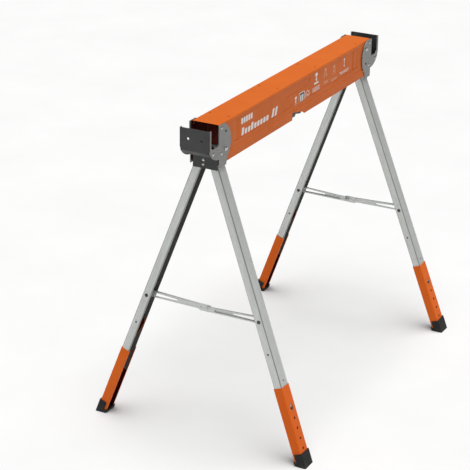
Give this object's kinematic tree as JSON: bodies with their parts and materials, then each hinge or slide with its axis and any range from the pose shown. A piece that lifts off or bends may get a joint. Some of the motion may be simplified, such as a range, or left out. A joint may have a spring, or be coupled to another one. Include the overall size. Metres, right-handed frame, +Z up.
{
  "type": "folding sawhorse",
  "caption": "Folding sawhorse: pressed steel beam with slotted end brackets, two folding pairs of telescopic legs, over-centre braces and rubber feet.",
  "frame": {"origin": "on the floor under the middle of the beam, with the legs fully out", "axes": "+X along the beam, +Y across it towards the back legs, +Z up"},
  "size_m": [1.052, 0.6714, 0.914],
  "materials": {
    "orange_paint": "semi-gloss orange powder coat",
    "galvanised_steel": "bright galvanised sheet",
    "charcoal_paint": "satin charcoal paint",
    "grey_paint": "hammered mid-grey paint",
    "zinc_fasteners": "dull zinc plate",
    "black_rubber": "matte moulded rubber"
  },
  "bodies": {
    "beam": {"beam_shell": "orange_paint", "catch_pin": "orange_paint", "end_plate_left": "charcoal_paint", "bracket_rivets_left": "zinc_fasteners", "fold_bolt_left": "zinc_fasteners", "side_plate_left_front": "grey_paint", "side_plate_left_back": "grey_paint", "end_plate_right": "charcoal_paint", "bracket_rivets_right": "zinc_fasteners", "fold_bolt_right": "zinc_fasteners", "side_plate_right_front": "grey_paint", "side_plate_right_back": "grey_paint"},
    "catch": {"stow_catch": "charcoal_paint"},
    "carrier_left": {"leg_carrier_left": "charcoal_paint", "leg_pins_left": "zinc_fasteners"},
    "knuckle_left": {"brace_link_left": "galvanised_steel", "link_rivet_left": "zinc_fasteners"},
    "leg_left_front": {"upper_leg_left_front": "galvanised_steel", "brace_pin_left_front": "zinc_fasteners", "lever_pin_left_front": "zinc_fasteners", "lever_spring_left_front": "zinc_fasteners"},
    "foot_left_front": {"lower_leg_left_front": "orange_paint", "boot_left_front": "black_rubber"},
    "lever_left_front": {"release_lever_left_front": "orange_paint", "lock_button_left_front": "zinc_fasteners"},
    "arm_left_front": {"brace_arm_left_front": "galvanised_steel"},
    "leg_left_back": {"upper_leg_left_back": "galvanised_steel", "brace_pin_left_back": "zinc_fasteners", "lever_pin_left_back": "zinc_fasteners", "lever_spring_left_back": "zinc_fasteners"},
    "foot_left_back": {"lower_leg_left_back": "orange_paint", "boot_left_back": "black_rubber"},
    "lever_left_back": {"release_lever_left_back": "orange_paint", "lock_button_left_back": "zinc_fasteners"},
    "arm_left_back": {"brace_arm_left_back": "galvanised_steel"},
    "carrier_right": {"leg_carrier_right": "charcoal_paint", "leg_pins_right": "zinc_fasteners"},
    "knuckle_right": {"brace_link_right": "galvanised_steel", "link_rivet_right": "zinc_fasteners"},
    "leg_right_front": {"upper_leg_right_front": "galvanised_steel", "brace_pin_right_front": "zinc_fasteners", "lever_pin_right_front": "zinc_fasteners", "lever_spring_right_front": "zinc_fasteners"},
    "foot_right_front": {"lower_leg_right_front": "orange_paint", "boot_right_front": "black_rubber"},
    "lever_right_front": {"release_lever_right_front": "orange_paint", "lock_button_right_front": "zinc_fasteners"},
    "arm_right_front": {"brace_arm_right_front": "galvanised_steel"},
    "leg_right_back": {"upper_leg_right_back": "galvanised_steel", "brace_pin_right_back": "zinc_fasteners", "lever_pin_right_back": "zinc_fasteners", "lever_spring_right_back": "zinc_fasteners"},
    "foot_right_back": {"lower_leg_right_back": "orange_paint", "boot_right_back": "black_rubber"},
    "lever_right_back": {"release_lever_right_back": "orange_paint", "lock_button_right_back": "zinc_fasteners"},
    "arm_right_back": {"brace_arm_right_back": "galvanised_steel"}
  },
  "joints": [
    {"name": "fold_left", "type": "hinge", "parent": "beam", "child": "carrier_left", "pos_m": [-0.44, 0, 0.843], "axis": [0, 1, 0], "range_deg": [-80, 0]},
    {"name": "spread_left_front", "type": "hinge", "parent": "carrier_left", "child": "leg_left_front", "pos_m": [-0.44686, -0.0125, 0.82429], "axis": [0.999, 0, -0.0454], "range_deg": [0, 19.9]},
    {"name": "extend_left_front", "type": "slide", "parent": "leg_left_front", "child": "foot_left_front", "axis": [0.0425, 0.3469, 0.9369], "range_m": [0, 0.116], "deforming": ["lock_button_left_front"]},
    {"name": "release_left_front", "type": "hinge", "parent": "leg_left_front", "child": "lever_left_front", "pos_m": [-0.47055, -0.20574, 0.30243], "axis": [0.999, 0, -0.0454], "range_deg": [0, 2.3], "stiffness_Nm_per_rad": 2, "deforming": ["lever_spring_left_front"]},
    {"name": "brace_left_front", "type": "hinge", "parent": "leg_left_front", "child": "arm_left_front", "pos_m": [-0.46664, -0.17383, 0.38862], "axis": [0.999, 0, -0.0454], "range_deg": [0, 70.2]},
    {"name": "spread_left_back", "type": "hinge", "parent": "carrier_left", "child": "leg_left_back", "pos_m": [-0.44686, 0.0125, 0.82429], "axis": [0.999, 0, -0.0454], "range_deg": [-19.9, 0]},
    {"name": "extend_left_back", "type": "slide", "parent": "leg_left_back", "child": "foot_left_back", "axis": [0.0425, -0.3469, 0.9369], "range_m": [0, 0.116], "deforming": ["lock_button_left_back"]},
    {"name": "release_left_back", "type": "hinge", "parent": "leg_left_back", "child": "lever_left_back", "pos_m": [-0.47055, 0.20574, 0.30243], "axis": [0.999, 0, -0.0454], "range_deg": [-2.3, 0], "stiffness_Nm_per_rad": 2, "deforming": ["lever_spring_left_back"]},
    {"name": "brace_left_back", "type": "hinge", "parent": "leg_left_back", "child": "arm_left_back", "pos_m": [-0.46664, 0.17383, 0.38862], "axis": [0.999, 0, -0.0454], "range_deg": [-70.2, 0]},
    {"name": "knuckle_turn_left", "type": "hinge", "parent": "arm_left_back", "child": "knuckle_left", "pos_m": [-0.46682, 0.012, 0.38463], "axis": [0.999, 0, -0.0454], "range_deg": [0, 90.1]},
    {"name": "fold_right", "type": "hinge", "parent": "beam", "child": "carrier_right", "pos_m": [0.44, 0, 0.89], "axis": [0, 1, 0], "range_deg": [0, 77.5]},
    {"name": "spread_right_front", "type": "hinge", "parent": "carrier_right", "child": "leg_right_front", "pos_m": [0.44686, -0.0125, 0.82429], "axis": [0.999, 0, 0.0454], "range_deg": [0, 19.9]},
    {"name": "extend_right_front", "type": "slide", "parent": "leg_right_front", "child": "foot_right_front", "axis": [-0.0425, 0.3469, 0.9369], "range_m": [0, 0.116], "deforming": ["lock_button_right_front"]},
    {"name": "release_right_front", "type": "hinge", "parent": "leg_right_front", "child": "lever_right_front", "pos_m": [0.47055, -0.20574, 0.30243], "axis": [0.999, 0, 0.0454], "range_deg": [0, 2.3], "stiffness_Nm_per_rad": 2, "deforming": ["lever_spring_right_front"]},
    {"name": "brace_right_front", "type": "hinge", "parent": "leg_right_front", "child": "arm_right_front", "pos_m": [0.46664, -0.17383, 0.38862], "axis": [0.999, 0, 0.0454], "range_deg": [0, 70.2]},
    {"name": "spread_right_back", "type": "hinge", "parent": "carrier_right", "child": "leg_right_back", "pos_m": [0.44686, 0.0125, 0.82429], "axis": [0.999, 0, 0.0454], "range_deg": [-19.9, 0]},
    {"name": "extend_right_back", "type": "slide", "parent": "leg_right_back", "child": "foot_right_back", "axis": [-0.0425, -0.3469, 0.9369], "range_m": [0, 0.116], "deforming": ["lock_button_right_back"]},
    {"name": "release_right_back", "type": "hinge", "parent": "leg_right_back", "child": "lever_right_back", "pos_m": [0.47055, 0.20574, 0.30243], "axis": [0.999, 0, 0.0454], "range_deg": [-2.3, 0], "stiffness_Nm_per_rad": 2, "deforming": ["lever_spring_right_back"]},
    {"name": "brace_right_back", "type": "hinge", "parent": "leg_right_back", "child": "arm_right_back", "pos_m": [0.46664, 0.17383, 0.38862], "axis": [0.999, 0, 0.0454], "range_deg": [-70.2, 0]},
    {"name": "knuckle_turn_right", "type": "hinge", "parent": "arm_right_back", "child": "knuckle_right", "pos_m": [0.46682, 0.012, 0.38463], "axis": [0.999, 0, 0.0454], "range_deg": [0, 90.1]},
    {"name": "catch_turn", "type": "hinge", "parent": "beam", "child": "catch", "pos_m": [-0.034, -0.0357, 0.834], "axis": [0, 1, 0], "range_deg": [-15, 0], "stiffness_Nm_per_rad": 0.3}
  ],
  "couplings": [
    {"joint": "spread_left_front", "follows": "fold_left", "ratio": -0.24875},
    {"joint": "brace_left_front", "follows": "fold_left", "ratio": -0.8775},
    {"joint": "spread_left_back", "follows": "fold_left", "ratio": 0.24875},
    {"joint": "brace_left_back", "follows": "fold_left", "ratio": 0.8775},
    {"joint": "knuckle_turn_left", "follows": "fold_left", "ratio": -1.1262},
    {"joint": "spread_right_front", "follows": "fold_right", "ratio": 0.25677},
    {"joint": "brace_right_front", "follows": "fold_right", "ratio": 0.90581},
    {"joint": "spread_right_back", "follows": "fold_right", "ratio": -0.25677},
    {"joint": "brace_right_back", "follows": "fold_right", "ratio": -0.90581},
    {"joint": "knuckle_turn_right", "follows": "fold_right", "ratio": 1.1626}
  ]
}
